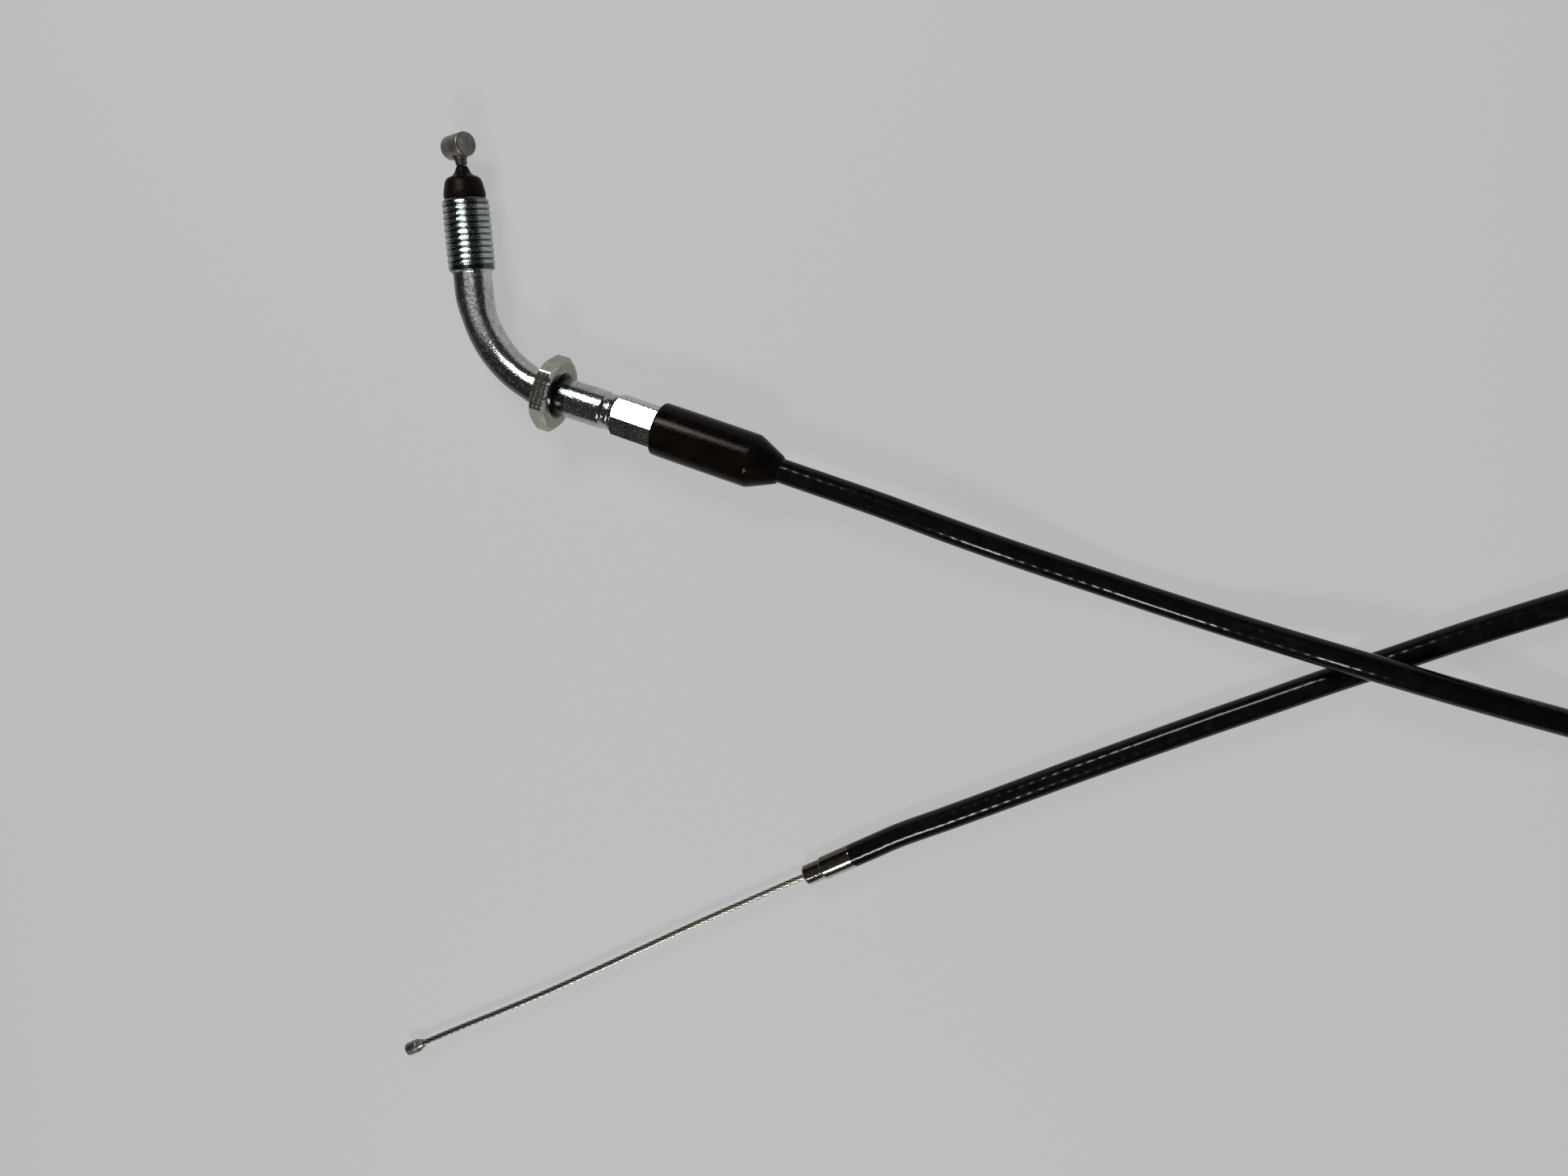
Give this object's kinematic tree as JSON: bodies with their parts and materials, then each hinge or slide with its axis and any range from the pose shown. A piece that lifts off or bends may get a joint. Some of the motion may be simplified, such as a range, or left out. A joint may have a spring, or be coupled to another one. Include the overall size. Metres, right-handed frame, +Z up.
{
  "type": "throttle control cable",
  "caption": "Flexible pull cable with a bent threaded inlet tube and lock nut, an inline adjuster under a rubber boot, a black casing, and a bare inner wire ending in a small nipple.",
  "frame": {"origin": "middle of the inlet tube's thread, on its axis", "axes": "+Y along the thread's axis towards the grip, +Z up from the surface that the cable lies on, and the tube's straight arm leaves in the XY plane, 20 degrees from +X towards -Y"},
  "size_m": [0.3532, 0.2096, 0.0148],
  "materials": {
    "zinc_plate": "bright zinc plate",
    "nickel_plate": "warm grey plate",
    "die_cast": "dull as-cast metal",
    "ferrule_plate": "polished plate",
    "wire_strand": "bare twisted strands",
    "black_rubber": "satin moulded rubber",
    "casing_cover": "glossy extruded cover",
    "liner": "translucent white",
    "strap": "plain black"
  },
  "bodies": {
    "casing": {"casing_run_grip": "casing_cover", "casing_coil": "casing_cover", "coil_straps": "strap", "casing_run_carb": "casing_cover", "casing_end_carb": "casing_cover", "carb_liner": "liner", "carb_ferrule": "ferrule_plate", "adjuster_bolt": "zinc_plate", "bolt_liner": "liner"},
    "boot": {"rubber_boot": "black_rubber"},
    "adjuster_lock_nut": {"adjuster_lock_nut": "zinc_plate"},
    "adjuster_sleeve": {"adjuster_sleeve": "zinc_plate"},
    "elbow": {"elbow_tube": "zinc_plate", "elbow_liner": "liner", "dust_seal": "black_rubber"},
    "lock_nut": {"lock_nut": "nickel_plate"},
    "grip_wire": {"barrel_nipple": "die_cast", "grip_wire": "wire_strand"},
    "carb_wire": {"carb_wire": "wire_strand", "carb_nipple": "die_cast"}
  },
  "joints": [
    {"name": "adjuster_travel", "type": "slide", "parent": "casing", "child": "adjuster_lock_nut", "axis": [-0.9323, 0.3616, 0], "range_m": [0, 0.007]},
    {"name": "adjuster_turn", "type": "hinge", "parent": "adjuster_lock_nut", "child": "adjuster_sleeve", "pos_m": [0.02945, -0.03867, 0], "axis": [-0.9323, 0.3616, 0], "range_deg": [0, 2520]},
    {"name": "elbow_swivel", "type": "hinge", "parent": "adjuster_lock_nut", "child": "elbow", "pos_m": [0.01592, -0.03374, 0], "axis": [0.9397, -0.342, 0], "continuous": true},
    {"name": "nut_slide", "type": "slide", "parent": "elbow", "child": "lock_nut", "axis": [0.9397, -0.342, 0], "range_m": [0, 0.0095]},
    {"name": "wire_pull", "type": "slide", "parent": "elbow", "child": "grip_wire", "axis": [0, 1, 0], "range_m": [0, 0.02]},
    {"name": "wire_draw", "type": "slide", "parent": "casing", "child": "carb_wire", "axis": [0.9063, 0.4226, 0], "range_m": [0, 0.02]},
    {"name": "boot_slide", "type": "slide", "parent": "casing", "child": "boot", "axis": [0.9323, -0.3616, 0], "range_m": [0, 0.022]}
  ],
  "couplings": [
    {"joint": "adjuster_turn", "follows": "adjuster_travel", "rad_per_m": 6283.2},
    {"joint": "wire_draw", "follows": "wire_pull", "ratio": 1}
  ]
}
